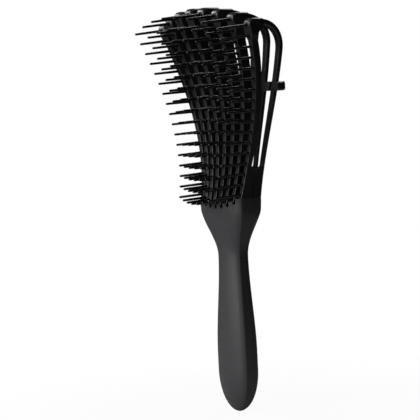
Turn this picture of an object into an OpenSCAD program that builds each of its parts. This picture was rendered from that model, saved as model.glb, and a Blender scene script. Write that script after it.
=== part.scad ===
// Detangling brush with eight springy fingers in a fan on a slim handle.
// Each finger is a loop: a front rib that carries a row of pins, hooked at its
// top to a thinner back rib that curls over and runs down to the neck. A
// notched clip pushes on from behind and keeps the back ribs apart.
// Lengths are in millimetres. +Z runs up the handle to the head, the pins
// point to -Y, and the origin is on the handle's axis where the hand holds it.

/* [Handle] */
// Width of the grip at its fullest part
grip_w = 25.4; // [22:0.2:30]
// Depth of the grip at its fullest part
grip_d = 15.8; // [12:0.2:20]
// Length of the full part of the grip
grip_len = 10; // [4:1:20]
// Length of the rounded butt
butt_len = 25; // [18:1:32]
// Length from the full grip up to the waist
grip_to_waist = 58; // [45:1:75]
// Width of the waist
waist_w = 19.2; // [15:0.2:23]
// Depth of the waist
waist_d = 12.4; // [10:0.2:15]
// Length from the waist up to the neck
waist_to_neck = 30; // [22:1:40]
// Width of the neck
neck_w = 37.6; // [34:0.2:42]
// Front face of the neck, in front of the handle's axis
neck_front = 11; // [8:0.2:12]
// How much the neck's front rises from its sides to its middle
neck_crown = 2.6; // [0:0.2:4]
// Back face of the neck, behind the handle's axis
neck_back = 9.8; // [8:0.2:12]
// Parting plane between the front and back mouldings, behind the handle's axis
split_y = 2.4; // [1.5:0.1:3.5]

/* [Fan of fingers] */
// Number of fingers, each with its own nodes
finger_count = 8; // [8]
// How far the outer fingers stand in from the sides of the neck
side_inset = 0.6; // [0.3:0.05:2]
// Half the fan's spread at the top, to the middle of the outer fingers
spread_top = 39.2; // [32:0.2:44]
// Height of the middle of the fan above the neck
head_len = 115.6; // [95:1:135]
// How much lower the outer fingers end than the middle of the fan
top_drop = 7.8; // [0:0.2:12]
// How much higher the outer fingers start than the middle of the fan
root_rise = 3.5; // [0:0.1:5]
// Height of the lowest finger root above the neck
root_h = 1; // [0.6:0.2:3]
// Depth of the slots between the roots below the lowest root
slot_depth = 2.6; // [2:0.2:4]
// Free gap between a finger and what it flexes beside
flex_gap = 0.3; // [0.2:0.05:0.5]

/* [Front ribs] */
// Width of a front rib at its root
front_rib_root_w = 2.7; // [2.2:0.1:3.2]
// Width of a front rib below its head
front_rib_top_w = 3.4; // [2.6:0.1:4.5]
// Depth of a front rib at its root
front_rib_root_d = 3.2; // [2.6:0.1:4.4]
// Depth of a front rib below its head
front_rib_d = 5.8; // [4.4:0.1:6]
// Distance of the lowest point of the pin face in front of the handle's axis
face_front = 4.9; // [3:0.1:6]
// Height of that point above the neck
face_low_h = 43; // [30:1:50]
// Radius of the pin face above that point
face_top_r = 148; // [120:2:240]
// How far the roots of the front ribs stand in from the neck's front face
root_inset = 0.45; // [0.2:0.05:1.5]
// How far the outer fingers are set back from the middle of the fan
set_back = 2.9; // [0:0.1:4.5]
// Width of the rib's head
head_w = 5.4; // [5:0.1:6.5]
// Height over which a front rib widens to its head
flare_h = 7; // [5:0.5:12]
// Length of the rib's head over the top, front to back
head_d = 8.6; // [8.4:0.1:10]
// Thickness of the rib's head
head_h = 4.2; // [3.6:0.1:5]
// Radius of the head's front corner
head_r = 2.6; // [1.5:0.1:3]
// Height of the bottom of the loop above the neck
loop_h = 21; // [15:1:30]
// Radius of the fillets at the bottom of the loop
loop_r = 2; // [1:0.1:2.4]
// Radius of the fillet under the head
under_head_r = 1.2; // [0.6:0.1:1.4]

/* [Pins] */
// Pins on each finger
pin_count = 17; // [12:1:18]
// Diameter of a pin at its root
pin_root_d = 1.7; // [1.4:0.1:2]
// Diameter of a pin at its tip
pin_tip_d = 1.4; // [1:0.1:1.8]
// Length of a pin in the lower rows
pin_len = 17.5; // [14:0.5:22]
// Length of a pin in the top row
pin_top_len = 19.7; // [15:0.1:25]
// How much longer the pins of the outer fingers are than those in the middle
pin_outer_add = 1.2; // [0:0.2:3]
// Angle that the lowest pins point down
pin_low_angle = 1; // [0:0.5:6]
// Angle that the top pins point down
pin_top_angle = 4.5; // [0:0.5:12]
// Angle that the pins of the outer fingers lean in toward the middle
pin_in_angle = 3.5; // [0:0.5:6]
// Distance of the top pins below the top of the finger
pin_top_margin = 3.9; // [2.2:0.1:5]
// Distance of the lowest pins above the finger's root
pin_root_margin = 1.5; // [1.5:0.1:3]
// Depth that a pin runs into its rib
pin_root_in = 0.9; // [0.5:0.1:1.5]

/* [Back ribs] */
// Width of a back rib at its root
back_rib_root_w = 2.4; // [2.2:0.1:3.2]
// Width of a back rib at its top
back_rib_top_w = 4.9; // [3:0.1:5.2]
// Thickness of a back rib at its root
back_rib_root_t = 2; // [1.6:0.1:2.6]
// Thickness of a back rib at its top
back_rib_top_t = 3.2; // [2:0.1:3.4]
// How far the roots of the back ribs stand in from the neck's back face
back_inset = 0.8; // [0.2:0.1:2]
// Back face of the outer ribs below their curl, behind the handle's axis
back_top = 13.8; // [11:0.2:16]
// How much nearer the handle's axis the middle back ribs run
back_set = 0.6; // [0.2:0.1:4]
// Height of the curl at the top of a back rib
curl_h = 18.6; // [14:0.2:24]
// Step from the head of the front rib down to the back rib
hook_step = 0.4; // [0.2:0.1:1]
// Length of the back rib's end inside the head
hook_len = 3; // [2:0.1:3.6]

/* [Spacer clip] */
// Height of the clip's middle above the neck
clip_h = 68.5; // [55:0.5:80]
// Height of the clip's bar
clip_bar_h = 5.4; // [4:0.1:7]
// Thickness of the bar behind the back ribs
clip_back_t = 2; // [1.5:0.1:3]
// Reach of the clip's teeth past the front of the back ribs
clip_reach = 0.6; // [0.3:0.1:1.5]
// Length of the clip's ends past the outer ribs
clip_end = 3.2; // [2:0.1:5]
// Radius of the clip's corners
clip_corner_r = 1.4; // [0.5:0.1:2]
// Clearance of a rib in its notch
clip_gap = 0.35; // [0.25:0.05:0.6]

/* [Hidden] */

$fn = 48;
pin_sides = 24;
ring_points = 44;
curve_steps = 14;
flare_steps = 8;
// Points round the wide circle that the clip is bent to
clip_ring_points = 1440;
// Overrun of a cut past the face it starts from
cut_over = 1;
// Roundness of the handle's section, from 2 for an ellipse up to a box
grip_power_share = 3.2;
neck_power_share = 6;
// Share of the fan's widening that follows an S curve, the rest is straight
fan_curve_share = 0.8;
// How early the back ribs bow out, from 1 for a plain S curve down to 0.5
back_bow_share = 0.6;
// Share of a curl's height or depth that its curve's handles take
curl_handle_share = 0.58;

z_butt = -grip_len / 2 - butt_len;
z_full = grip_len / 2;
z_waist = z_full + grip_to_waist;
z_neck = z_waist + waist_to_neck;
z_head = z_neck + root_h + root_rise;

// The fan starts inside the neck, and the pin face runs down to its front
spread_neck = neck_w / 2 - side_inset - front_rib_root_w / 2;
back_root = neck_back - back_inset;
face_root_r = pow(face_low_h - root_h, 2) / (2 * (neck_front - root_inset - face_front));

// A value that rises from 0 to 1 and is level at both ends
function ease(u) = let (c = min(1, max(0, u))) c * c * (3 - 2 * c);
function mix(a, b, u) = a + (b - a) * u;
// A point on a curve from p0 to p3 that leaves along p1 and arrives along p2
function bezier(p0, p1, p2, p3, u) =
    pow(1 - u, 3) * p0 + 3 * u * pow(1 - u, 2) * p1 + 3 * u * u * (1 - u) * p2 + pow(u, 3) * p3;

// Place of finger i across the fan, from -1 to 1
function place(i) = (2 * i - finger_count - 1) / (finger_count - 1);

// Heights are measured from the neck
function top_of(t) = head_len - top_drop * t * t;
function root_of(t) = root_h + root_rise * t * t;
function spread_at(h) = let (u = h / head_len)
    mix(spread_neck, spread_top, u + fan_curve_share * (ease(u) - u));
function face_at(h, t) = let (r = h > face_low_h ? face_top_r : face_root_r)
    face_front - set_back * t * t + pow(h - face_low_h, 2) / (2 * r);
function back_at(h, t) = let (
        u = max(0, h - root_of(t)) / (top_of(t) - curl_h - root_of(t)))
    mix(back_root, back_top - back_set * (1 - t * t), ease(pow(u, back_bow_share)));
function back_rib_t(h) = mix(back_rib_root_t, back_rib_top_t, h / head_len);

// Section of the handle, one point at angle a
function section_point(a, w, front, back, power, crown) = let (
        across = pow(abs(cos(a)), 2 / power),
        deep = pow(abs(sin(a)), 2 / power)) [
    w / 2 * sign(cos(a)) * across,
    sin(a) < 0 ? -(front - crown) * deep - crown * (1 - across * across) : back * deep];

// Width, front, back, roundness and crown of the handle at a height
function handle_at(z) =
    z > z_waist ? let (u = ease((z - z_waist) / waist_to_neck)) [
        mix(waist_w, neck_w, u), mix(waist_d / 2, neck_front, u),
        mix(waist_d / 2, neck_back, u), mix(grip_power_share, neck_power_share, u),
        neck_crown * u]
    : z > z_full ? let (u = ease((z - z_full) / grip_to_waist)) [
        mix(grip_w, waist_w, u), mix(grip_d, waist_d, u) / 2,
        mix(grip_d, waist_d, u) / 2, grip_power_share, 0]
    : [grip_w, grip_d / 2, grip_d / 2, grip_power_share, 0];

// Heights of the rings, and the share by which the butt closes in at each
butt_rings = 9;
shaft_rings = 22;
handle_rings = [
    for (i = [1 : butt_rings]) let (a = 90 * i / butt_rings)
        [z_butt + butt_len * (1 - cos(a)), sin(a)],
    for (i = [1 : shaft_rings]) [mix(-z_full, z_neck, i / shaft_rings), 1],
    [z_head, 1]];

module handle_body() {
    rings = [for (r = handle_rings) let (s = handle_at(r[0]))
        [for (k = [0 : ring_points - 1]) let (
            p = section_point(360 * (k + 0.5) / ring_points, s[0], s[1], s[2], s[3], s[4]))
            [p[0] * r[1], p[1] * r[1], r[0]]]];
    last = len(rings) - 1;
    pole = len(rings) * ring_points;
    points = concat([for (ring = rings) each ring], [[0, 0, z_butt], [0, 0, z_head]]);
    faces = concat(
        [for (j = [0 : last - 1], k = [0 : ring_points - 1]) let (
            a = j * ring_points + k, b = j * ring_points + (k + 1) % ring_points)
            [a, a + ring_points, b + ring_points, b]],
        [for (k = [0 : ring_points - 1]) [pole, k, (k + 1) % ring_points]],
        [for (k = [0 : ring_points - 1]) let (a = last * ring_points)
            [pole + 1, a + (k + 1) % ring_points, a + k]]);
    polyhedron(points, faces);
}

// Everything on one side of the parting plane
module front_half() {
    translate([-neck_w, split_y - 2 * neck_w, z_butt - cut_over])
        cube([2 * neck_w, 2 * neck_w, z_head - z_butt + 2 * cut_over]);
}
module back_half() {
    translate([-neck_w, split_y, z_butt - cut_over])
        cube([2 * neck_w, 2 * neck_w, z_head - z_butt + 2 * cut_over]);
}

// Everything above the stepped line of the finger roots, with a round-bottomed
// slot between each two fingers
module root_cuts() {
    slots = [for (i = [1 : finger_count - 1]) let (
            pitch = (place(i + 1) - place(i)) * spread_at(root_h),
            t = (place(i) + place(i + 1)) / 2,
            x = t * spread_at(root_h), r = (pitch - front_rib_root_w) / 2,
            z = root_of(t) - slot_depth + r)
        each concat([[x - r, root_of(place(i))]],
            [for (a = [180 : 15 : 360]) [x + r * cos(a), z + r * sin(a)]],
            [[x + r, root_of(place(i + 1))]])];
    above = z_head - z_neck + cut_over;
    translate([0, neck_w, z_neck]) rotate([90, 0, 0]) linear_extrude(2 * neck_w)
        polygon(concat([[-neck_w, above], [-neck_w, root_of(1)]], slots,
            [[neck_w, root_of(1)], [neck_w, above]]));
}

module handle_front() {
    color([0.13, 0.13, 0.14]) difference() {
        intersection() { handle_body(); front_half(); }
        root_cuts();
    }
}

module handle_back() {
    color([0.11, 0.11, 0.12]) difference() {
        intersection() { handle_body(); back_half(); }
        root_cuts();
    }
}

// A side outline in Y and height, drawn out across the width of the fan
module across() {
    translate([-spread_top - head_w, 0, z_neck]) rotate([90, 0, 90])
        linear_extrude(2 * (spread_top + head_w)) children();
}

// A fanned strip in X and height, w0 wide at the neck and w1 at the top. Its
// last flare_h below the finger's top can widen to a head.
module strip(t, w0, w1, h0, h1, head = 0) {
    low = top_of(t) - flare_h;
    function width(h) = let (w = mix(w0, w1, h / head_len))
        w + max(0, head - w) * ease((h - low) / (flare_h - head_h / 2));
    function edge(h, side) = t * spread_at(h) + side * width(h) / 2;
    heights = concat([for (k = [0 : curve_steps]) mix(h0, min(h1, low), k / curve_steps)],
        h1 > low ? [for (k = [1 : flare_steps]) mix(low, h1, k / flare_steps)] : []);
    last = len(heights) - 1;
    depth = 2 * (neck_w + spread_top);
    translate([0, depth / 2, z_neck]) rotate([90, 0, 0]) linear_extrude(depth)
        polygon(concat([for (h = heights) [edge(h, -1), h]],
            [for (k = [last : -1 : 0]) [edge(heights[k], 1), heights[k]]]));
}

// Outer line of the back rib's curl, moved in by a thickness at its top and its foot
function curl_line(t, top_inset, foot_inset) = let (
        top = top_of(t) - hook_step,
        y0 = head_back(t), y1 = back_at(top_of(t) - curl_h, t),
        p0 = [y0, top - top_inset], p3 = [y1 - foot_inset, top_of(t) - curl_h],
        reach = curl_handle_share)
    [for (k = [0 : curve_steps]) bezier(p0, [mix(p0[0], p3[0], reach), p0[1]],
        [p3[0], mix(p3[1], p0[1], reach)], p3, k / curve_steps)];

// Front and back of the rib's head, as Y
function head_front(t) = -face_at(top_of(t) - head_r, t);
function head_back(t) = head_front(t) + head_d;

module front_rib_outline(t) {
    top = top_of(t);
    root = root_of(t) + flex_gap;
    rear_top = top - head_h - under_head_r;
    function rear(h) = min(split_y,
        mix(front_rib_root_d, front_rib_d, h / head_len) - face_at(h, t));
    polygon(concat(
        [for (k = [0 : curve_steps]) let (h = mix(root, top - head_r, k / curve_steps))
            [-face_at(h, t), h]],
        [for (a = [15 : 15 : 90])
            [head_front(t) + head_r * (1 - cos(a)), top - head_r * (1 - sin(a))]],
        [[head_back(t), top], [head_back(t), top - head_h]],
        [for (a = [0 : 15 : 90])
            [rear(rear_top) + under_head_r * (1 - sin(a)),
                top - head_h - under_head_r * (1 - cos(a))]],
        [for (k = [1 : curve_steps]) let (h = mix(rear_top, loop_h + loop_r, k / curve_steps))
            [rear(h), h]],
        [for (a = [15 : 15 : 90]) let (y0 = rear(loop_h + loop_r))
            [mix(y0, split_y, 1 - cos(a)), loop_h + loop_r * (1 - sin(a))]],
        [[split_y, root]]));
}

module back_rib_outline(t) {
    root = root_of(t) + flex_gap;
    curl = top_of(t) - curl_h;
    function inner(h) = back_at(h, t) - back_rib_t(h);
    polygon(concat(
        [[split_y, root], [split_y, loop_h]],
        [for (a = [15 : 15 : 90]) let (y0 = inner(loop_h + loop_r))
            [mix(split_y, y0, sin(a)), loop_h + loop_r * (1 - cos(a))]],
        [for (k = [1 : curve_steps]) let (h = mix(loop_h + loop_r, curl, k / curve_steps)) [inner(h), h]],
        [for (k = [curve_steps - 1 : -1 : 0]) curl_line(t, back_rib_t(top_of(t)), back_rib_t(curl))[k]],
        [[head_back(t) - hook_len, top_of(t) - hook_step - back_rib_t(top_of(t))],
            [head_back(t) - hook_len, top_of(t) - hook_step]],
        curl_line(t, 0, 0),
        [for (k = [1 : curve_steps]) let (h = mix(curl, root, k / curve_steps)) [back_at(h, t), h]]));
}

module back_rib_body(t) {
    intersection() {
        across() back_rib_outline(t);
        strip(t, back_rib_root_w, back_rib_top_w, root_h, head_len);
    }
}

module front_rib(i) {
    t = place(i);
    color([0.12, 0.12, 0.13]) difference() {
        intersection() {
            across() front_rib_outline(t);
            strip(t, front_rib_root_w, front_rib_top_w, root_h, top_of(t) + cut_over, head_w);
        }
        back_rib_body(t);
    }
}

module back_rib(i) {
    color([0.1, 0.1, 0.11]) back_rib_body(place(i));
}

// A round-tipped pin that points along -Y, with its root at the origin
module pin(len) {
    rotate([90, 0, 0]) {
        translate([0, 0, -pin_root_in])
            cylinder(d1 = pin_root_d, d2 = pin_tip_d, h = len + pin_root_in - pin_tip_d / 2,
                $fn = pin_sides);
        translate([0, 0, len - pin_tip_d / 2]) sphere(d = pin_tip_d, $fn = pin_sides);
    }
}

module pin_row(i) {
    t = place(i);
    low = root_of(t) + flex_gap + pin_root_margin;
    high = top_of(t) - pin_top_margin;
    color([0.09, 0.09, 0.1]) for (k = [0 : pin_count - 1]) {
        u = k / (pin_count - 1);
        h = mix(low, high, u);
        translate([t * spread_at(h), -face_at(h, t), z_neck + h])
            rotate([mix(pin_low_angle, pin_top_angle, u * u * u), 0, -pin_in_angle * t])
                pin(mix(pin_len, pin_top_len, u * u * u) + pin_outer_add * t * t);
    }
}

// Back face of the ribs at the clip follows this circle across the fan
clip_rib_y = back_at(clip_h, 1);
clip_mid_y = back_at(clip_h, 0);
clip_chord = spread_at(clip_h);
clip_sag = clip_rib_y - clip_mid_y;
clip_r = (clip_chord * clip_chord + clip_sag * clip_sag) / (2 * clip_sag);
clip_half_len = clip_chord + back_rib_top_w / 2 + clip_end;

// Outline of the bar from behind, with rounded corners
module clip_face() {
    inner_l = clip_half_len - clip_corner_r;
    inner_h = clip_bar_h / 2 - clip_corner_r;
    polygon([for (corner = [[1, 1, 0], [-1, 1, 90], [-1, -1, 180], [1, -1, 270]], a = [0 : 15 : 90])
        [corner[0] * inner_l + clip_corner_r * cos(corner[2] + a),
            corner[1] * inner_h + clip_corner_r * sin(corner[2] + a)]]);
}

// The bar and its teeth before the notches are cut, bent to the back ribs
module clip_bar() {
    back = clip_gap + clip_back_t;
    front = back_rib_t(clip_h) + clip_reach;
    intersection() {
        translate([0, 0, -clip_bar_h]) linear_extrude(2 * clip_bar_h) intersection() {
            translate([0, clip_mid_y + clip_r]) difference() {
                circle(r = clip_r + front, $fn = clip_ring_points);
                circle(r = clip_r - back, $fn = clip_ring_points);
            }
            translate([-clip_half_len - cut_over, 0])
                square([2 * (clip_half_len + cut_over), clip_r]);
        }
        translate([0, clip_r, 0]) rotate([90, 0, 0]) linear_extrude(clip_r) clip_face();
    }
}

module spacer_clip() {
    color([0.14, 0.14, 0.15]) difference() {
        translate([0, 0, z_neck + clip_h]) clip_bar();
        for (i = [1 : finger_count]) {
            t = place(i);
            notch_y = back_at(clip_h, t) + clip_gap;
            intersection() {
                strip(t, back_rib_root_w + 2 * clip_gap, back_rib_top_w + 2 * clip_gap,
                    clip_h - clip_bar_h, clip_h + clip_bar_h);
                translate([-clip_half_len, notch_y - clip_r, z_neck])
                    cube([2 * clip_half_len, clip_r, head_len]);
            }
        }
    }
}

handle_front();
handle_back();
front_rib(1);  // front_rib_1
front_rib(2);  // front_rib_2
front_rib(3);  // front_rib_3
front_rib(4);  // front_rib_4
front_rib(5);  // front_rib_5
front_rib(6);  // front_rib_6
front_rib(7);  // front_rib_7
front_rib(8);  // front_rib_8
pin_row(1);  // pin_row_1
pin_row(2);  // pin_row_2
pin_row(3);  // pin_row_3
pin_row(4);  // pin_row_4
pin_row(5);  // pin_row_5
pin_row(6);  // pin_row_6
pin_row(7);  // pin_row_7
pin_row(8);  // pin_row_8
back_rib(1);  // back_rib_1
back_rib(2);  // back_rib_2
back_rib(3);  // back_rib_3
back_rib(4);  // back_rib_4
back_rib(5);  // back_rib_5
back_rib(6);  // back_rib_6
back_rib(7);  // back_rib_7
back_rib(8);  // back_rib_8
spacer_clip();
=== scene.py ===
"""Looks of the detangling brush: two satin black mouldings, their pins and the spacer clip.

Every piece follows the CAD node it stands for, drawn finer and with rounded edges. Lengths are in
metres in the frame's axes: +Z up the handle, the pins point to -Y. A height h is above the neck,
and a place t is across the fan, from -1 at finger 1 to 1 at finger 8.
"""
from math import acos, asin, cos, hypot, pi, radians, sin

import bmesh
import bpy
from mathutils import Matrix, Vector


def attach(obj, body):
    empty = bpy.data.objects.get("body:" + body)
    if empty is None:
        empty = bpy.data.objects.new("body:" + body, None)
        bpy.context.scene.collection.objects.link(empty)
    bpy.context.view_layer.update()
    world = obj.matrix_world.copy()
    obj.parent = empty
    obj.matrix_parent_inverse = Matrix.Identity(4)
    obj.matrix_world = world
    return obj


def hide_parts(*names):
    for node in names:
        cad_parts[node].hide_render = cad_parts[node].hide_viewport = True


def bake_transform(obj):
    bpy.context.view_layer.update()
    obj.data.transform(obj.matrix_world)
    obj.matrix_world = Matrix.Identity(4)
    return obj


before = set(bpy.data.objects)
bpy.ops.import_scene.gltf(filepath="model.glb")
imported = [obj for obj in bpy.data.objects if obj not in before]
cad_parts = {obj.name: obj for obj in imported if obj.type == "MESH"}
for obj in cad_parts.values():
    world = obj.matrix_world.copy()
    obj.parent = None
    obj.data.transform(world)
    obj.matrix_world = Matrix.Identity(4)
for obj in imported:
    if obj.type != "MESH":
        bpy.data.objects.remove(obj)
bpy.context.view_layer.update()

# Handle. A power squares its section: 2 is an ellipse, and the corners sharpen as it grows.
GRIP_W, GRIP_D, GRIP_LEN = 0.0254, 0.0158, 0.010
BUTT_LEN = 0.025
GRIP_TO_WAIST, WAIST_TO_NECK = 0.058, 0.030
WAIST_W, WAIST_D = 0.0192, 0.0124
NECK_W, NECK_FRONT, NECK_BACK, NECK_CROWN = 0.0376, 0.011, 0.0098, 0.0026
FRONT_GRIP_POWER, FRONT_NECK_POWER, GRIP_CROWN = 8, 9, 0.0032
BACK_GRIP_POWER, BACK_NECK_POWER = 4.2, 10
SPLIT_Y = 0.0024
HANDLE_LEVELS, SEAM_STEPS, SIDE_STEPS, SLOT_STEPS = 52, 6, 9, 8
BUTT_STEPS, BUTT_UNDER_STEPS = 12, 4

# Fan of fingers
FINGERS = 8
SIDE_INSET = 0.0006
SPREAD_TOP = 0.0392
HEAD_LEN, TOP_DROP = 0.1156, 0.0078
ROOT_H, ROOT_RISE, SLOT_DEPTH = 0.001, 0.0035, 0.0026
FAN_CURVE, BACK_BOW = 0.8, 0.6
ROOT_STEPS, LOOP_STEPS, RIB_STEPS, CURL_STEPS = 8, 6, 26, 24

# Front ribs
FRONT_ROOT_W, FRONT_TOP_W = 0.0027, 0.0036
FRONT_ROOT_D, FRONT_TOP_D = 0.0032, 0.0056
INNER_MIDDLE_MORE, INNER_TOP_MORE, MIDDLE_H = 0.0023, 0.0012, 0.05
FACE_FRONT, FACE_LOW_H, FACE_TOP_R = 0.0049, 0.043, 0.148
ROOT_INSET, SET_BACK = 0.00045, 0.0029
HEAD_W, HEAD_D, HEAD_H, HEAD_R = 0.0062, 0.0086, 0.0068, 0.0034
FLARE_H, FLARE_LEN = 0.0130, 0.004
LOOP_H, LOOP_R, UNDER_HEAD_R = 0.021, 0.002, 0.0032
HEAD_STEPS, TURN_STEPS, CORNER_STEPS = 12, 4, 8
HEAD_TOP_STEPS, HEAD_BACK_STEPS = 2, 4

# Pins
PINS = 17
PIN_ROOT_R, PIN_TIP_R = 0.00085, 0.0007
PIN_LEN, PIN_TOP_LEN, PIN_OUTER_ADD = 0.0175, 0.0197, 0.0012
PIN_LOW_ANGLE, PIN_TOP_ANGLE, PIN_IN_ANGLE = radians(1), radians(4.5), radians(3.5)
PIN_LOW_MARGIN, PIN_TOP_MARGIN = 0.0015, 0.0039
PIN_ROOT_IN, FLEX_GAP = 0.0009, 0.0003
PIN_FLARE_R, PIN_FLARE_LEN = 0.00115, 0.0007
PIN_SIDES, PIN_TIP_STEPS = 10, 2

# Back ribs
BACK_ROOT_W, BACK_TOP_W = 0.0024, 0.0049
BACK_ROOT_T, BACK_TOP_T = 0.002, 0.0034
BACK_INSET, BACK_TOP, BACK_SET = 0.0008, 0.0134, 0.0010
CURL_H, CURL_REACH = 0.0186, 0.58
HOOK_STEP, HOOK_LEN = 0.0004, 0.003
BACK_RIB_STEPS = 20

# Spacer clip
CLIP_H, CLIP_BAR_H, CLIP_BACK_T = 0.0685, 0.0054, 0.002
CLIP_REACH, CLIP_END, CLIP_CORNER_R, CLIP_GAP = 0.0006, 0.0022, 0.0016, 0.00035
CLIP_STEPS, CLIP_CORNER_STEPS = 48, 3

# Edges that the CAD leaves sharp
FRONT_EDGE_R, HEAD_EDGE_R = 0.0004, 0.0023
BACK_ROOT_EDGE_R, BACK_TOP_EDGE_R = 0.0006, 0.0011
SEAM_EDGE, SLOT_EDGE, CLIP_EDGE = 0.00018, 0.0003, 0.0007
RIB_EDGE_ANGLES = [radians(a) for a in (0, 30, 60, 90)]
LEAST_EDGE_SHARE = 1 / 12
SHARP, SMOOTH, RIB_SMOOTH, PIN_SMOOTH = radians(50), radians(38), radians(60), radians(70)
WELD = 1e-6

# Plastic. The scales are per metre. The gloss follows the middle values of its noise.
GRAIN_SCALE, GLOSS_SCALE, TONE_SCALE = 2600, 220, 90
GRAIN_DEPTH, GLOSS_SPREAD, TONE_SPREAD, PLASTIC_IOR = 0.00004, 0.05, 0.14, 1.49
NOISE_LOW, NOISE_HIGH = 0.3, 0.7

# Studio
FLOOR_HALF, FLOOR_GAP, FLOOR_PAINT, FLOOR_GLOW = 0.25, 0.0002, 0.45, 0.95
FADE_START, FADE_END = 0.05, 0.22
ROOM_GLOW = 0.01
MIDDLE = Vector((0, 0, 0.09))
LIGHT_DISTANCE = 0.9
VIEW_AZIMUTH, VIEW_PITCH, VIEW_ROLL = radians(50), radians(4.434), radians(2.739)
VIEW_DISTANCE, VIEW_HALF_WIDTH, VIEW_CENTRE_H = 1.11712, 0.12369, -0.005
VIEW_SHIFT = (0.01194, -0.00175)
SENSOR_MM = 36

Z_BUTT = -GRIP_LEN / 2 - BUTT_LEN
Z_FULL = GRIP_LEN / 2
Z_WAIST = Z_FULL + GRIP_TO_WAIST
Z_NECK = Z_WAIST + WAIST_TO_NECK
SPREAD_NECK = NECK_W / 2 - SIDE_INSET - FRONT_ROOT_W / 2
BACK_ROOT = NECK_BACK - BACK_INSET
FACE_ROOT_R = (FACE_LOW_H - ROOT_H) ** 2 / (2 * (NECK_FRONT - ROOT_INSET - FACE_FRONT))


def ease(u):
    """0 to 1 with a soft start and end."""
    c = min(1, max(0, u))
    return c * c * (3 - 2 * c)


def mix(a, b, u):
    return a + (b - a) * u


def steps(a, b, count):
    """count + 1 values from a to b."""
    return [mix(a, b, k / count) for k in range(count + 1)]


def bezier(p0, p1, p2, p3, u):
    return [(1 - u) ** 3 * a + 3 * u * (1 - u) ** 2 * b + 3 * u * u * (1 - u) * c + u ** 3 * d
            for a, b, c, d in zip(p0, p1, p2, p3)]


def place(i):
    """Place of finger i across the fan, from -1 to 1."""
    return (2 * i - FINGERS - 1) / (FINGERS - 1)


def top_of(t):
    """Height of a finger's head."""
    return HEAD_LEN - TOP_DROP * t * t


def root_of(t):
    """Height at which a finger leaves the handle."""
    return ROOT_H + ROOT_RISE * t * t


def spread_at(h):
    """Half the fan's width between the middles of its outer fingers."""
    u = h / HEAD_LEN
    return mix(SPREAD_NECK, SPREAD_TOP, u + FAN_CURVE * (ease(u) - u))


def face_at(h, t):
    """How far the pin face is in front of the middle plane."""
    r = FACE_TOP_R if h > FACE_LOW_H else FACE_ROOT_R
    return FACE_FRONT - SET_BACK * t * t + (h - FACE_LOW_H) ** 2 / (2 * r)


def back_at(h, t):
    """How far a back rib's outer face is behind the middle plane, below its curl."""
    u = max(0, h - root_of(t)) / (top_of(t) - CURL_H - root_of(t))
    return mix(BACK_ROOT, BACK_TOP - BACK_SET * (1 - t * t), ease(u ** BACK_BOW))


def back_rib_t(h):
    """Thickness of a back rib, from its outer face in."""
    return mix(BACK_ROOT_T, BACK_TOP_T, h / HEAD_LEN)


def back_rib_w(h, t=0):
    """Width of a back rib, the same at every place across the fan."""
    return mix(BACK_ROOT_W, BACK_TOP_W, h / HEAD_LEN)


def back_edge_r(h):
    return mix(BACK_ROOT_EDGE_R, BACK_TOP_EDGE_R, h / HEAD_LEN)


def front_rib_d(h, t):
    """Depth of a front rib: thin at its root, and more in the inner ribs than in the outer two."""
    more = mix(INNER_MIDDLE_MORE, INNER_TOP_MORE, max(0, h - MIDDLE_H) / (HEAD_LEN - MIDDLE_H))
    return mix(FRONT_ROOT_D, FRONT_TOP_D, h / HEAD_LEN) + more * ease(h / MIDDLE_H) * (1 - t ** 8)


def front_rib_w(h, t):
    """Width of a front rib, which widens to its head over its last few millimetres."""
    w = mix(FRONT_ROOT_W, FRONT_TOP_W, h / HEAD_LEN)
    return w + max(0, HEAD_W - w) * ease((h - top_of(t) + FLARE_H) / FLARE_LEN)


# Meshes

def new_verts(made):
    return [g for g in made["geom"] if isinstance(g, bmesh.types.BMVert)]


def loft(bm, sections, closed):
    """Extrudes a loop or a line of points through the sections, and gives its two end edge sets."""
    if closed:
        row = bmesh.ops.create_circle(bm, segments=len(sections[0]), radius=1)["verts"]
        edges = list({e for v in row for e in v.link_edges})
    else:
        row = [bm.verts.new(p) for p in sections[0]]
        edges = [bm.edges.new(pair) for pair in zip(row, row[1:])]
    for v, p in zip(row, sections[0]):
        v.co = p
    first = edges
    for section in sections[1:]:
        made = bmesh.ops.extrude_edge_only(bm, edges=edges)
        fresh = set(new_verts(made))
        row = [next(e.other_vert(v) for e in v.link_edges if e.other_vert(v) in fresh) for v in row]
        edges = [e for e in made["geom"] if isinstance(e, bmesh.types.BMEdge)
                 and e.verts[0] in fresh and e.verts[1] in fresh]
        for v, p in zip(row, section):
            v.co = p
    return first, edges


def bevel(bm, edges, offset, clamp):
    bmesh.ops.bevel(bm, geom=edges, offset=offset, offset_type="OFFSET", affect="EDGES",
                    segments=2, profile=0.5, material=-1, clamp_overlap=clamp)


def fill_holes(bm):
    bmesh.ops.holes_fill(bm, edges=[e for e in bm.edges if e.is_boundary], sides=0)


def finish_piece(bm, name, finish, smooth_angle=SMOOTH):
    """Turns a bmesh into a smooth-shaded object with that finish."""
    bmesh.ops.recalc_face_normals(bm, faces=bm.faces)
    mesh = bpy.data.meshes.new(name)
    bm.to_mesh(mesh)
    bm.free()
    mesh.shade_smooth()
    mesh.set_sharp_from_angle(angle=smooth_angle)
    piece = bpy.data.objects.new(name, mesh)
    bpy.context.scene.collection.objects.link(piece)
    weighted = piece.modifiers.new("even_shading", "WEIGHTED_NORMAL")
    weighted.keep_sharp = True
    mesh.materials.append(finish)
    return piece


# Finishes

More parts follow.
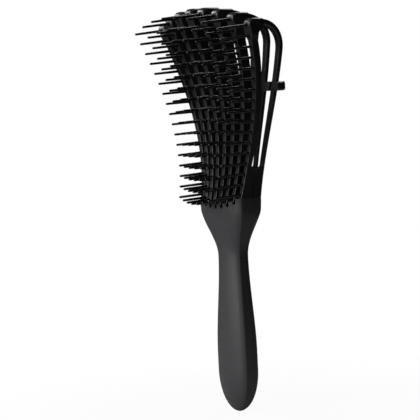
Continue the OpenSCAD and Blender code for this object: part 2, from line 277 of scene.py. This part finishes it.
def moulded_plastic(name, colour, roughness, grain, seed):
    """Satin black plastic: fine grain, faint flow marks and a slightly uneven gloss."""
    material = bpy.data.materials.new(name)
    material.use_nodes = True
    nodes, links = material.node_tree.nodes, material.node_tree.links
    shader = nodes["Principled BSDF"]
    shader.inputs["IOR"].default_value = PLASTIC_IOR
    where = nodes.new("ShaderNodeTexCoord")
    centre = nodes.new("ShaderNodeMapping")
    centre.inputs["Location"].default_value = (seed, 2 * seed, 3 * seed)
    links.new(where.outputs["Object"], centre.inputs["Vector"])

    def noise(scale, detail):
        n = nodes.new("ShaderNodeTexNoise")
        n.inputs["Scale"].default_value = scale
        n.inputs["Detail"].default_value = detail
        links.new(centre.outputs["Vector"], n.inputs["Vector"])
        return n.outputs["Fac"]

    def ranged(value, low, high):
        m = nodes.new("ShaderNodeMapRange")
        for socket, bound in (("From Min", NOISE_LOW), ("From Max", NOISE_HIGH),
                              ("To Min", low), ("To Max", high)):
            m.inputs[socket].default_value = bound
        links.new(value, m.inputs["Value"])
        return m.outputs["Result"]

    tone = nodes.new("ShaderNodeMix")
    tone.data_type = "RGBA"
    tone.inputs["A"].default_value = (*[c * (1 - TONE_SPREAD) for c in colour], 1)
    tone.inputs["B"].default_value = (*[c * (1 + TONE_SPREAD) for c in colour], 1)
    links.new(noise(TONE_SCALE, detail=3), tone.inputs["Factor"])
    links.new(tone.outputs["Result"], shader.inputs["Base Color"])
    gloss = noise(GLOSS_SCALE, detail=4)
    links.new(ranged(gloss, roughness - GLOSS_SPREAD, roughness + GLOSS_SPREAD),
              shader.inputs["Roughness"])
    bump = nodes.new("ShaderNodeBump")
    bump.inputs["Strength"].default_value = grain
    bump.inputs["Distance"].default_value = GRAIN_DEPTH
    links.new(noise(GRAIN_SCALE, detail=2), bump.inputs["Height"])
    links.new(bump.outputs["Normal"], shader.inputs["Normal"])
    return material


handle_plastic = moulded_plastic("handle_plastic", (0.027, 0.027, 0.0295),
                                 roughness=0.55, grain=0.30, seed=0.11)
# The ribs take the handle's plastic painted darker: painted shade for the shade that the pins and
# ribs cast among the fingers.
rib_plastic = moulded_plastic("rib_plastic", (0.013, 0.013, 0.014),
                              roughness=0.36, grain=0.22, seed=0.37)
# The pins take the same plastic painted darker still: painted shade for the shade among the
# fingers.
pin_plastic = moulded_plastic("pin_plastic", (0.007, 0.007, 0.0077),
                              roughness=0.28, grain=0.12, seed=0.53)
clip_plastic = moulded_plastic("clip_plastic", (0.016, 0.016, 0.017),
                               roughness=0.38, grain=0.25, seed=0.71)


# Handle

def width_at(z):
    """Width of the handle, widest at the neck and narrowest at the waist."""
    if z > Z_WAIST:
        return mix(WAIST_W, NECK_W, ease((z - Z_WAIST) / WAIST_TO_NECK))
    return mix(GRIP_W, WAIST_W, ease((z - Z_FULL) / GRIP_TO_WAIST))


def depth_at(z, neck_depth):
    """Depth of the handle's front or back from its middle plane."""
    if z > Z_WAIST:
        return mix(WAIST_D / 2, neck_depth, ease((z - Z_WAIST) / WAIST_TO_NECK))
    return mix(GRIP_D, WAIST_D, ease((z - Z_FULL) / GRIP_TO_WAIST)) / 2


def towards_neck(grip, neck, z):
    return mix(grip, neck, ease((z - Z_WAIST) / WAIST_TO_NECK))


def back_power(z):
    return mix(BACK_GRIP_POWER, BACK_NECK_POWER, ease((z - Z_WAIST) / WAIST_TO_NECK) ** 3)


def flatness(across, power):
    """1 in the middle of a flat face, falling to 0 round its corner."""
    return max(0, 1 - abs(across) ** power) ** (1 / power)


def front_point(z, scale, across):
    """Point on the handle's front, across from -1 at its left side to 1 at its right."""
    front, crown = depth_at(z, NECK_FRONT), towards_neck(GRIP_CROWN, NECK_CROWN, z)
    flat = flatness(across, towards_neck(FRONT_GRIP_POWER, FRONT_NECK_POWER, z))
    return Vector((scale * width_at(z) / 2 * across,
                   -scale * ((front - crown) * flat + crown * (1 - across * across)), z))


def back_point(z, scale, across):
    """Point on the handle's back, across as on the front."""
    return Vector((scale * width_at(z) / 2 * across,
                   scale * depth_at(z, NECK_BACK) * flatness(across, back_power(z)), z))


def seam_across(z, scale):
    """How far across the parting plane leaves the handle's back half, from 0 to 1."""
    back = scale * depth_at(z, NECK_BACK)
    return flatness(min(1, SPLIT_Y / back), back_power(z)) if back else 0


def comb_columns():
    """Across, shoulder and top of each column of points over the finger roots and slots."""
    half = NECK_W / 2
    spread = spread_at(ROOT_H)
    slots = []
    for i in range(1, FINGERS):
        t = (place(i) + place(i + 1)) / 2
        r = ((place(i + 1) - place(i)) * spread - FRONT_ROOT_W) / 2
        slots.append((t * spread, root_of(t) - SLOT_DEPTH + r, r))
    columns = []
    for i in range(1, FINGERS + 1):
        x, top = place(i) * spread, root_of(place(i))
        left = slots[max(0, i - 2)][1]
        right = slots[min(FINGERS - 2, i - 1)][1]
        for side, shoulder in ((-1, left), (0, (left + right) / 2), (1, right)):
            columns.append(((x + side * FRONT_ROOT_W / 2) / half, shoulder, top))
        if i < FINGERS:
            mid, z, r = slots[i - 1]
            columns += [((mid + r * cos(a)) / half, z + r * sin(a), z + r * sin(a))
                        for a in steps(pi, 2 * pi, SLOT_STEPS)]
    return columns


def handle_shell(name, body_point, side_points, butt_angles, node):
    """One half of the handle, from its butt up to the finger roots, closed at the parting plane."""
    comb = comb_columns()
    levels = [(Z_BUTT + BUTT_LEN * (1 - cos(a)), sin(a)) for a in butt_angles]
    levels += [(z, 1) for z in steps(-Z_FULL, Z_NECK - SLOT_DEPTH - ROOT_H / 2, HANDLE_LEVELS)[1:]]

    def row(z, scale):
        side = side_points(z, scale)
        return (side[::-1] + [body_point(z, scale, across) for across, _, _ in comb]
                + [Vector((-p.x, p.y, p.z)) for p in side])

    rows = [row(z, scale) for z, scale in levels]
    for ends in ([shoulder for _, shoulder, _ in comb], [top for _, _, top in comb]):
        points = row(Z_NECK, 1)
        beside = [ends[0]] * ((len(points) - len(comb)) // 2)
        for p, h in zip(points, beside + ends + beside):
            p.z = Z_NECK + h
        rows.append(points)
    bm = bmesh.new()
    loft(bm, rows, closed=False)
    bmesh.ops.remove_doubles(bm, verts=bm.verts, dist=WELD)

    def on_seam(e):
        return all(abs(v.co.y - SPLIT_Y) < WELD for v in e.verts)

    crest = [e for e in bm.edges if e.is_boundary and not on_seam(e)]
    made = bmesh.ops.extrude_edge_only(bm, edges=crest)
    for v in new_verts(made):
        v.co.y = SPLIT_Y
    bmesh.ops.remove_doubles(bm, verts=bm.verts, dist=WELD)
    fill_holes(bm)
    bmesh.ops.recalc_face_normals(bm, faces=bm.faces)
    bevel(bm, [e for e in crest if e.is_valid and not on_seam(e)], SLOT_EDGE, clamp=True)
    seam = [e for e in bm.edges if on_seam(e) and e.calc_face_angle(0) > SHARP]
    bevel(bm, seam, SEAM_EDGE, clamp=False)
    piece = finish_piece(bm, name, handle_plastic)
    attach(piece, "handle")
    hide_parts(node)


def front_sides(z, scale):
    """Left side of the front moulding, from the front's corner round to the seam."""
    outermost = comb_columns()[-1][0]
    seam = seam_across(z, scale)
    front = [front_point(z, scale, -sin(a)) for a in steps(asin(outermost), pi / 2, SIDE_STEPS)[1:]]
    back = [back_point(z, scale, -cos(a)) for a in steps(0, acos(seam), SEAM_STEPS)[1:]]
    return front + back


def back_sides(z, scale):
    """Left side of the back moulding, from the back's corner round to the seam."""
    seam = seam_across(z, scale)
    outermost = min(comb_columns()[-1][0], seam)
    return [back_point(z, scale, -sin(a))
            for a in steps(asin(outermost), asin(seam), SIDE_STEPS)[1:]]


def back_within_seam(z, scale, across):
    """Point on the handle's back, held between the two seams."""
    seam = seam_across(z, scale)
    return back_point(z, scale, max(-seam, min(seam, across)))


seam_angle = asin(2 * SPLIT_Y / GRIP_D)
above_seam = steps(seam_angle, pi / 2, BUTT_STEPS)
handle_shell("handle_front_shell", front_point, front_sides,
             steps(0, seam_angle, BUTT_UNDER_STEPS)[:-1] + above_seam, "handle_front")
handle_shell("handle_back_shell", back_within_seam, back_sides, above_seam, "handle_back")


# Ribs

def rib_section(t, width, outer, inner, edge_r, inset=0):
    """Rounded box section between an outer and an inner point of a rib's side view."""
    (y0, h0), (y1, h1) = outer, inner
    length = hypot(y0 - y1, h0 - h1)
    middle_y, middle_h = (y0 + y1) / 2, (h0 + h1) / 2
    out_y, out_h = (y0 - y1) / length, (h0 - h1) / length
    r = max(edge_r - inset, edge_r * LEAST_EDGE_SHARE)
    points = []
    for side, outward in ((1, 1), (-1, 1), (-1, -1), (1, -1)):
        for a in RIB_EDGE_ANGLES if side == outward else RIB_EDGE_ANGLES[::-1]:
            d = outward * (length / 2 - inset - r + r * sin(a))
            h = middle_h + out_h * d
            half = width(h, t) / 2 - inset
            x = t * spread_at(h) + side * (half - r + r * cos(a))
            points.append(Vector((x, middle_y + out_y * d, Z_NECK + h)))
    return points


def settle(piece):
    """Bakes the piece's placement into its mesh."""
    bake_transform(piece)


def rib(i, node, width, pairs):
    """One rib of finger i, lofted through the sections that the pairs of points give."""
    bm = bmesh.new()
    t = place(i)
    first, last = loft(bm, [rib_section(t, width, *pair) for pair in pairs], closed=True)
    bmesh.ops.contextual_create(bm, geom=first)
    bmesh.ops.contextual_create(bm, geom=last)
    piece = finish_piece(bm, f"{node}_moulding", rib_plastic, RIB_SMOOTH)
    settle(piece)
    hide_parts(node)


def along(points, count):
    """count + 1 points at even distances along a line of points."""
    lengths = [0]
    for a, b in zip(points, points[1:]):
        lengths.append(lengths[-1] + hypot(a[0] - b[0], a[1] - b[1]))
    found = []
    for d in steps(0, lengths[-1], count):
        k = next(k for k in range(1, len(lengths)) if d <= lengths[k] + WELD)
        u = (d - lengths[k - 1]) / (lengths[k] - lengths[k - 1])
        found.append(tuple(mix(a, b, u) for a, b in zip(points[k - 1], points[k])))
    return found


def head_front(t):
    """Front of the head, where its round corner starts."""
    return -face_at(top_of(t) - HEAD_R, t)


def front_rib_pairs(t):
    """Front and rear points up the rib, round its corner and back along the head."""
    top = top_of(t)
    rear_top = top - HEAD_H - UNDER_HEAD_R

    def rear(h):
        return min(SPLIT_Y, front_rib_d(h, t) - face_at(h, t))

    pairs = [((-face_at(h, t), h), (SPLIT_Y, h), FRONT_EDGE_R)
             for h in steps(root_of(t), LOOP_H, ROOT_STEPS)]
    y0 = rear(LOOP_H + LOOP_R)
    for a in steps(pi / 2, 0, LOOP_STEPS)[1:]:
        h = LOOP_H + LOOP_R * (1 - sin(a))
        pairs.append(((-face_at(h, t), h), (mix(y0, SPLIT_Y, 1 - cos(a)), h), FRONT_EDGE_R))
    for h in steps(LOOP_H + LOOP_R, rear_top, RIB_STEPS)[1:]:
        pairs.append(((-face_at(h, t), h), (rear(h), h), FRONT_EDGE_R))

    turn = [(-face_at(h, t), h) for h in steps(rear_top, top - HEAD_R, TURN_STEPS)]
    turn += [(head_front(t) + HEAD_R * (1 - cos(a)), top - HEAD_R * (1 - sin(a)))
             for a in steps(0, pi / 2, CORNER_STEPS)[1:]]
    turn.append((rear(rear_top) + UNDER_HEAD_R, top))
    for k, outer in enumerate(along(turn, HEAD_STEPS)[1:], 1):
        a = pi / 2 * k / HEAD_STEPS
        inner = (rear(rear_top) + UNDER_HEAD_R * (1 - cos(a)),
                 top - HEAD_H - UNDER_HEAD_R * (1 - sin(a)))
        pairs.append((outer, inner, mix(FRONT_EDGE_R, HEAD_EDGE_R, k / HEAD_STEPS)))

    flat_end = head_front(t) + HEAD_D - HEAD_EDGE_R
    backwards = [(y, 0) for y in steps(turn[-1][0], flat_end, HEAD_TOP_STEPS)[1:]]
    backwards += [(flat_end + HEAD_EDGE_R * sin(a), HEAD_EDGE_R * (1 - cos(a)))
                  for a in steps(0, pi / 2, HEAD_BACK_STEPS)[1:]]
    return pairs + [((y, top), (y, top - HEAD_H), HEAD_EDGE_R, inset) for y, inset in backwards]


def curl_line(t, top_inset, foot_inset):
    """The back rib's curl from the head over and down, set in by one amount at each end."""
    top, low = top_of(t) - HOOK_STEP, top_of(t) - CURL_H
    p0 = (head_front(t) + HEAD_D, top - top_inset)
    p3 = (back_at(low, t) - foot_inset, low)
    p1 = (mix(p0[0], p3[0], CURL_REACH), p0[1])
    p2 = (p3[0], mix(p3[1], p0[1], CURL_REACH))
    return [bezier(p0, p1, p2, p3, u) for u in steps(0, 1, CURL_STEPS)]


def back_rib_pairs(t):
    """Back and inner points up the rib, over its curl and into the head."""
    low = top_of(t) - CURL_H

    def inner(h):
        return back_at(h, t) - back_rib_t(h)

    line = [(h, SPLIT_Y) for h in steps(root_of(t), LOOP_H, ROOT_STEPS)]
    line += [(LOOP_H + LOOP_R * (1 - cos(a)), mix(SPLIT_Y, inner(LOOP_H + LOOP_R), sin(a)))
             for a in steps(0, pi / 2, LOOP_STEPS)[1:]]
    line += [(h, inner(h)) for h in steps(LOOP_H + LOOP_R, low, BACK_RIB_STEPS)[1:-1]]
    pairs = [((back_at(h, t), h), (y, h), back_edge_r(h)) for h, y in line]
    outside, inside = curl_line(t, 0, 0), curl_line(t, back_rib_t(top_of(t)), back_rib_t(low))
    pairs += [(a, b, back_edge_r(a[1])) for a, b in zip(outside[::-1], inside[::-1])]
    end = head_front(t) + HEAD_D - HOOK_LEN
    top = top_of(t) - HOOK_STEP
    return pairs + [((end, top), (end, top - back_rib_t(top_of(t))), back_edge_r(top))]


# Pins

def pin(bm, root, direction, length):
    """A round-tipped pin spun about its axis, with a small flare where it leaves the rib."""
    profile = [(PIN_ROOT_R, -PIN_ROOT_IN), (PIN_FLARE_R, 0), (PIN_ROOT_R, PIN_FLARE_LEN)]
    profile += [(PIN_TIP_R * cos(a), length - PIN_TIP_R * (1 - sin(a)))
                for a in steps(0, pi / 2, PIN_TIP_STEPS)]
    line = [bm.verts.new((r, 0, z)) for r, z in profile]
    edges = [bm.edges.new(pair) for pair in zip(line, line[1:])]
    before = len(bm.verts) - len(line)
    bmesh.ops.spin(bm, geom=line + edges, cent=(0, 0, 0), axis=(0, 0, 1), angle=2 * pi,
                   steps=PIN_SIDES, use_merge=True)
    bm.verts.ensure_lookup_table()
    made = bm.verts[before:]
    turn = Vector((0, 0, 1)).rotation_difference(direction).to_matrix().to_4x4()
    bmesh.ops.transform(bm, matrix=Matrix.Translation(root) @ turn, verts=made)


def pin_row(i):
    """The pins of finger i, longer towards the top and leaning in across the fan."""
    t = place(i)
    low, high = root_of(t) + FLEX_GAP + PIN_LOW_MARGIN, top_of(t) - PIN_TOP_MARGIN
    bm = bmesh.new()
    lean = PIN_IN_ANGLE * t
    for u in steps(0, 1, PINS - 1):
        h = mix(low, high, u)
        near_top = u ** 3
        a = mix(PIN_LOW_ANGLE, PIN_TOP_ANGLE, near_top)
        pin(bm, Vector((t * spread_at(h), -face_at(h, t), Z_NECK + h)),
            Vector((-sin(lean) * cos(a), -cos(lean) * cos(a), -sin(a))),
            mix(PIN_LEN, PIN_TOP_LEN, near_top) + PIN_OUTER_ADD * t * t)
    bmesh.ops.remove_doubles(bm, verts=bm.verts, dist=WELD)
    fill_holes(bm)
    piece = finish_piece(bm, f"pins_{i}", pin_plastic, PIN_SMOOTH)
    settle(piece)
    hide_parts(f"pin_row_{i}")


for i in range(1, FINGERS + 1):
    rib(i, f"front_rib_{i}", front_rib_w, front_rib_pairs(place(i)))
    rib(i, f"back_rib_{i}", back_rib_w, back_rib_pairs(place(i)))
    pin_row(i)


# Spacer clip

def clip_outline(half, width):
    """The bar from above: its back bent to the back ribs' circle, and a notch for each rib."""
    mid_y, rib_y, chord = back_at(CLIP_H, 0), back_at(CLIP_H, 1), spread_at(CLIP_H)
    sag = rib_y - mid_y
    r = (chord ** 2 + sag ** 2) / (2 * sag)

    def arc_y(x, out):
        return mid_y + r - ((r + out) ** 2 - x * x) ** 0.5

    back, front = -CLIP_GAP - CLIP_BACK_T, back_rib_t(CLIP_H) + CLIP_REACH
    outline = [(x, arc_y(x, back)) for x in steps(-half, half, CLIP_STEPS)]
    teeth = [(-half, arc_y(half, front))]
    for i in range(1, FINGERS + 1):
        x, y = place(i) * chord, back_at(CLIP_H, place(i)) + CLIP_GAP
        left, right = x - width / 2, x + width / 2
        teeth += [(left, arc_y(left, front)), (left, y), (right, y), (right, arc_y(right, front))]
    teeth.append((half, arc_y(half, front)))
    return outline + teeth[::-1]


def spacer_clip():
    """A bar across the back ribs, whose notches slant with the fan and whose ends are round."""
    chord = spread_at(CLIP_H)
    half = chord + BACK_TOP_W / 2 + CLIP_END
    width = back_rib_w(CLIP_H) + 2 * CLIP_GAP
    bottom = Z_NECK + CLIP_H - CLIP_BAR_H / 2
    bm = bmesh.new()
    corners = [bm.verts.new((x, y, bottom)) for x, y in clip_outline(half, width)]
    made = bmesh.ops.extrude_face_region(bm, geom=[bm.faces.new(corners)])
    bmesh.ops.translate(bm, verts=new_verts(made), vec=(0, 0, CLIP_BAR_H))
    rounding = steps(CLIP_BAR_H / 2 - CLIP_CORNER_R, CLIP_BAR_H / 2, CLIP_CORNER_STEPS)[:-1]
    for lift in [-u for u in rounding] + [0] + rounding:
        bmesh.ops.bisect_plane(bm, geom=bm.verts[:] + bm.edges[:] + bm.faces[:], dist=WELD,
                               plane_co=(0, 0, Z_NECK + CLIP_H + lift), plane_no=(0, 0, 1))
    for v in bm.verts:
        lift = v.co.z - Z_NECK - CLIP_H
        if abs(v.co.x) > half - WELD:
            over = max(0, abs(lift) - (CLIP_BAR_H / 2 - CLIP_CORNER_R))
            cut = CLIP_CORNER_R - (CLIP_CORNER_R ** 2 - min(over, CLIP_CORNER_R) ** 2) ** 0.5
            v.co.x -= cut if v.co.x > 0 else -cut
        elif abs(v.co.x) <= chord + width:
            v.co.x *= spread_at(CLIP_H + lift) / chord
    bmesh.ops.recalc_face_normals(bm, faces=bm.faces)
    bevel(bm, [e for e in bm.edges if e.calc_face_angle(0) > SHARP], CLIP_EDGE, clamp=True)
    piece = finish_piece(bm, "spacer_clip_bar", clip_plastic)
    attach(piece, "spacer_clip")
    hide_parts("spacer_clip")


spacer_clip()


# Floor, lights and camera

def make_floor():
    """A pale floor that takes the shadow and fades to white at its edge."""
    bm = bmesh.new()
    bmesh.ops.create_grid(bm, x_segments=1, y_segments=1, size=FLOOR_HALF)
    bmesh.ops.translate(bm, verts=bm.verts, vec=(0, 0, Z_BUTT - FLOOR_GAP))
    mesh = bpy.data.meshes.new("floor")
    bm.to_mesh(mesh)
    bm.free()
    floor = bpy.data.objects.new("floor", mesh)
    bpy.context.scene.collection.objects.link(floor)
    material = bpy.data.materials.new("pale_floor")
    material.use_nodes = True
    nodes, links = material.node_tree.nodes, material.node_tree.links
    nodes.clear()
    out = nodes.new("ShaderNodeOutputMaterial")
    blend = nodes.new("ShaderNodeMixShader")
    paint = nodes.new("ShaderNodeBsdfDiffuse")
    paint.inputs["Color"].default_value = (FLOOR_PAINT, FLOOR_PAINT, FLOOR_PAINT, 1)
    glow = nodes.new("ShaderNodeEmission")
    path = nodes.new("ShaderNodeLightPath")
    seen = nodes.new("ShaderNodeMath")
    seen.operation = "MAXIMUM"
    links.new(path.outputs["Is Camera Ray"], seen.inputs[0])
    links.new(path.outputs["Is Transmission Ray"], seen.inputs[1])
    where = nodes.new("ShaderNodeTexCoord")
    reach = nodes.new("ShaderNodeVectorMath")
    reach.operation = "LENGTH"
    links.new(where.outputs["Object"], reach.inputs[0])
    fade = nodes.new("ShaderNodeMapRange")
    fade.interpolation_type = "SMOOTHSTEP"
    for socket, value in (("From Min", FADE_START), ("From Max", FADE_END),
                          ("To Min", FLOOR_GLOW), ("To Max", 1)):
        fade.inputs[socket].default_value = value
    links.new(reach.outputs["Value"], fade.inputs["Value"])
    share = nodes.new("ShaderNodeMath")
    share.operation = "MULTIPLY"
    links.new(seen.outputs[0], share.inputs[0])
    links.new(fade.outputs["Result"], share.inputs[1])
    links.new(share.outputs[0], blend.inputs["Fac"])
    links.new(paint.outputs["BSDF"], blend.inputs[1])
    links.new(glow.outputs["Emission"], blend.inputs[2])
    links.new(blend.outputs["Shader"], out.inputs["Surface"])
    mesh.materials.append(material)


def make_world():
    """White to the camera, a dim even glow to everything else."""
    world = bpy.data.worlds.new("studio")
    bpy.context.scene.world = world
    world.use_nodes = True
    nodes, links = world.node_tree.nodes, world.node_tree.links
    nodes.clear()
    out = nodes.new("ShaderNodeOutputWorld")
    blend = nodes.new("ShaderNodeMixShader")
    room = nodes.new("ShaderNodeBackground")
    room.inputs["Color"].default_value = (1, 1, 1, 1)
    room.inputs["Strength"].default_value = ROOM_GLOW
    white = nodes.new("ShaderNodeBackground")
    white.inputs["Color"].default_value = (1, 1, 1, 1)
    path = nodes.new("ShaderNodeLightPath")
    links.new(path.outputs["Is Camera Ray"], blend.inputs["Fac"])
    links.new(room.outputs["Background"], blend.inputs[1])
    links.new(white.outputs["Background"], blend.inputs[2])
    links.new(blend.outputs["Shader"], out.inputs["Surface"])


def soft_light(name, azimuth, elevation, size, power):
    """A square soft box that looks at the middle of the brush."""
    a, e = radians(azimuth), radians(elevation)
    out = Vector((sin(a) * cos(e), -cos(a) * cos(e), sin(e)))
    lamp = bpy.data.lights.new(name, "AREA")
    lamp.size, lamp.energy = size, power
    box = bpy.data.objects.new(name, lamp)
    bpy.context.scene.collection.objects.link(box)
    box.location = MIDDLE + LIGHT_DISTANCE * out
    box.rotation_mode = "QUATERNION"
    box.rotation_quaternion = out.to_track_quat("Z", "Y")


make_floor()
make_world()
soft_light("key", azimuth=-2, elevation=20, size=0.4, power=9)
soft_light("left", azimuth=-70, elevation=32, size=0.3, power=4)
soft_light("rear", azimuth=-150, elevation=42, size=0.35, power=2)
soft_light("side", azimuth=95, elevation=50, size=0.4, power=0.5)


def make_camera():
    """The photograph's camera: level, half from the side, a little above, slightly rolled."""
    a, p, c, s = VIEW_AZIMUTH, VIEW_PITCH, cos(VIEW_ROLL), sin(VIEW_ROLL)
    level = Vector((cos(a), sin(a), 0))
    rise = Vector((-sin(p) * sin(a), sin(p) * cos(a), cos(p)))
    back = Vector((cos(p) * sin(a), -cos(p) * cos(a), sin(p)))
    right, up = c * level - s * rise, s * level + c * rise
    camera = bpy.data.cameras.new("camera")
    camera.sensor_width = SENSOR_MM
    camera.lens = camera.sensor_width / 2 * VIEW_DISTANCE / VIEW_HALF_WIDTH
    rig = bpy.data.objects.new("camera", camera)
    bpy.context.scene.collection.objects.link(rig)
    at = (Vector((0, 0, Z_NECK + VIEW_CENTRE_H)) + VIEW_DISTANCE * back
          - VIEW_SHIFT[0] * right - VIEW_SHIFT[1] * up)
    rig.matrix_world = Matrix((right, up, back)).transposed().to_4x4()
    rig.location = at
    bpy.context.scene.camera = rig


make_camera()
bpy.context.scene.view_settings.view_transform = "Standard"
